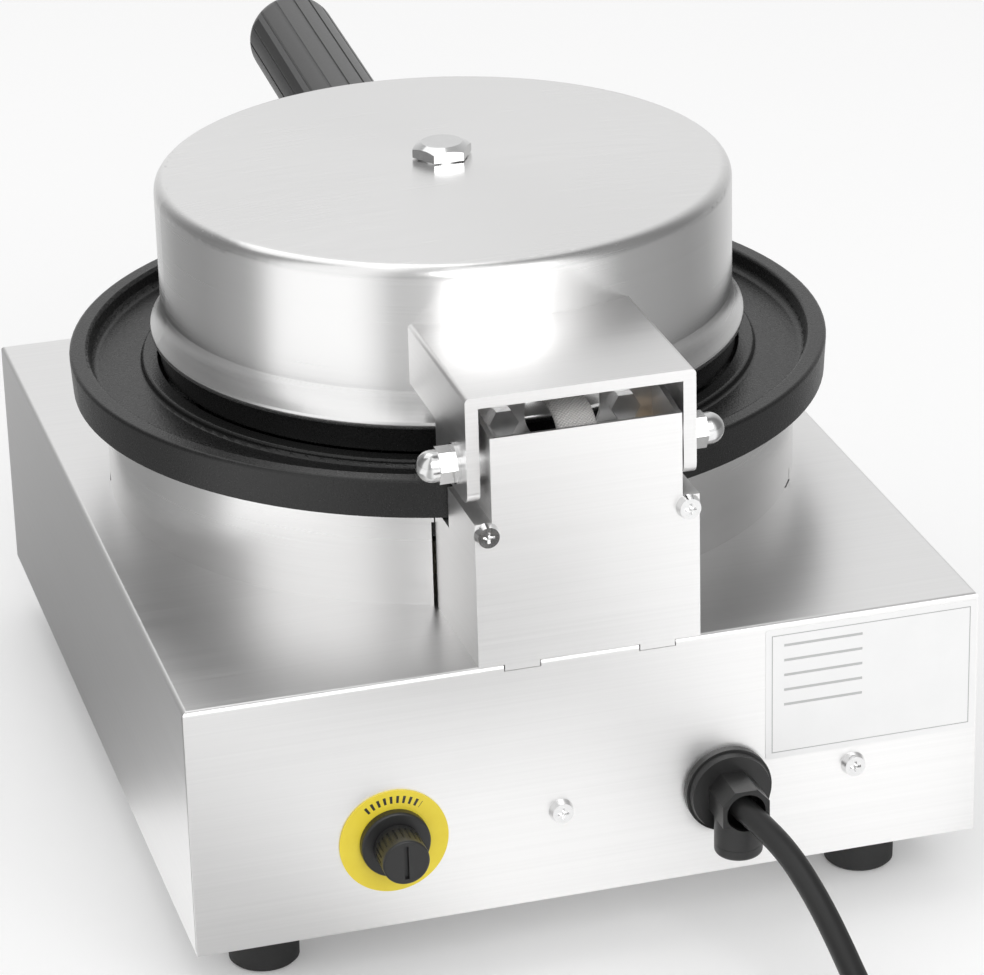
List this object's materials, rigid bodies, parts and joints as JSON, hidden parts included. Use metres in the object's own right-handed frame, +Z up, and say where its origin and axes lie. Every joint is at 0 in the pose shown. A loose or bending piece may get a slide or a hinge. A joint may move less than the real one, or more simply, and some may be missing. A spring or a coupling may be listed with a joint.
{
  "type": "belgian waffle maker",
  "caption": "Round countertop waffle maker: stainless box base with a black cast pan, a hinged brushed drum lid with its own waffle plate, a front handle and a rear supply cord.",
  "frame": {"origin": "on the standing surface, under the middle of the object without its cord", "axes": "+Z up, the front with the handle and controls faces -Y, +X is to the right seen from the front"},
  "size_m": [0.25, 0.7021, 0.2142],
  "materials": {
    "satin_steel": "brushed satin",
    "bright_steel": "polished",
    "coated_casting": "fine-grained non-stick coating",
    "element_tube": "oxidised",
    "black_rubber": "matt",
    "black_plastic": "satin",
    "cord_black": "smooth sheath",
    "tie_black": "matt",
    "pin_brass": "turned",
    "copper_tube": "drawn",
    "mineral_wool": "fibrous",
    "glass_sleeve": "woven",
    "yellow_plate": "satin",
    "white_label": "satin film",
    "white_ceramic": "unglazed",
    "red_button": "gloss",
    "green_lens": "clear coloured",
    "amber_lens": "clear coloured"
  },
  "bodies": {
    "base": {"housing": "satin_steel", "bottom_cover": "satin_steel", "feet": "black_rubber", "base_screws": "bright_steel", "drum": "satin_steel", "pan": "coated_casting", "lower_element": "element_tube", "lower_clamp": "bright_steel", "heat_shield": "satin_steel", "lower_insulation": "mineral_wool", "clamp_bolt": "bright_steel", "column": "satin_steel", "column_bolts": "bright_steel", "column_cover": "satin_steel", "panel_screws": "bright_steel", "hinge_bushes": "pin_brass", "hinge_spacers": "bright_steel", "lead_sleeve": "glass_sleeve", "terminal_bracket": "satin_steel", "terminal_block": "white_ceramic", "gland_body": "black_plastic", "gland_clamp": "black_plastic", "gland_nut": "black_plastic", "rating_plate": "white_label", "reset_plate": "yellow_plate", "reset_bush": "black_plastic", "reset_nut": "black_plastic", "cutout": "black_plastic", "reset_seal": "black_rubber", "switch_body": "black_plastic", "thermostat": "bright_steel", "thermostat_bulb": "copper_tube", "lamp_bodies": "black_plastic", "lamp_lens_green": "green_lens", "lamp_lens_amber": "amber_lens", "inner_wiring": "glass_sleeve", "supply_cord": "cord_black", "supply_cord_coil": "cord_black", "cord_tie": "tie_black", "plug_body": "cord_black", "plug_pins": "pin_brass"},
    "lid": {"lid_shell": "satin_steel", "lid_bolt": "bright_steel", "lid_arm": "satin_steel", "spindle": "bright_steel", "cap_nuts": "bright_steel", "upper_plate": "coated_casting", "upper_element": "element_tube", "upper_clamp": "bright_steel", "upper_insulation": "mineral_wool", "upper_nuts": "bright_steel", "lid_leads": "glass_sleeve", "handle_neck": "bright_steel", "handle_rod": "bright_steel", "handle_grip": "black_plastic"},
    "knob": {"knob": "black_plastic", "knob_shaft": "bright_steel"},
    "rocker": {"switch_rocker": "black_plastic"},
    "cap": {"reset_cap": "black_plastic"},
    "button": {"reset_button": "red_button"}
  },
  "joints": [
    {"name": "lid_hinge", "type": "hinge", "parent": "base", "child": "lid", "pos_m": [0, 0.1595, 0.1634], "axis": [-1, 0, 0], "range_deg": [0, 94], "deforming": ["lead_sleeve"]},
    {"name": "knob_turn", "type": "hinge", "parent": "base", "child": "knob", "pos_m": [0.066, -0.1285, 0.062], "axis": [0, 1, 0], "range_deg": [0, 270]},
    {"name": "rocker_tip", "type": "hinge", "parent": "base", "child": "rocker", "pos_m": [-0.078, -0.1255, 0.062], "axis": [-1, 0, 0], "range_deg": [0, 16]},
    {"name": "cap_off", "type": "slide", "parent": "base", "child": "cap", "axis": [0, 1, 0], "range_m": [0, 0.02]},
    {"name": "button_press", "type": "slide", "parent": "base", "child": "button", "axis": [0, -1, 0], "range_m": [0, 0.002], "stiffness_N_per_m": 200}
  ]
}
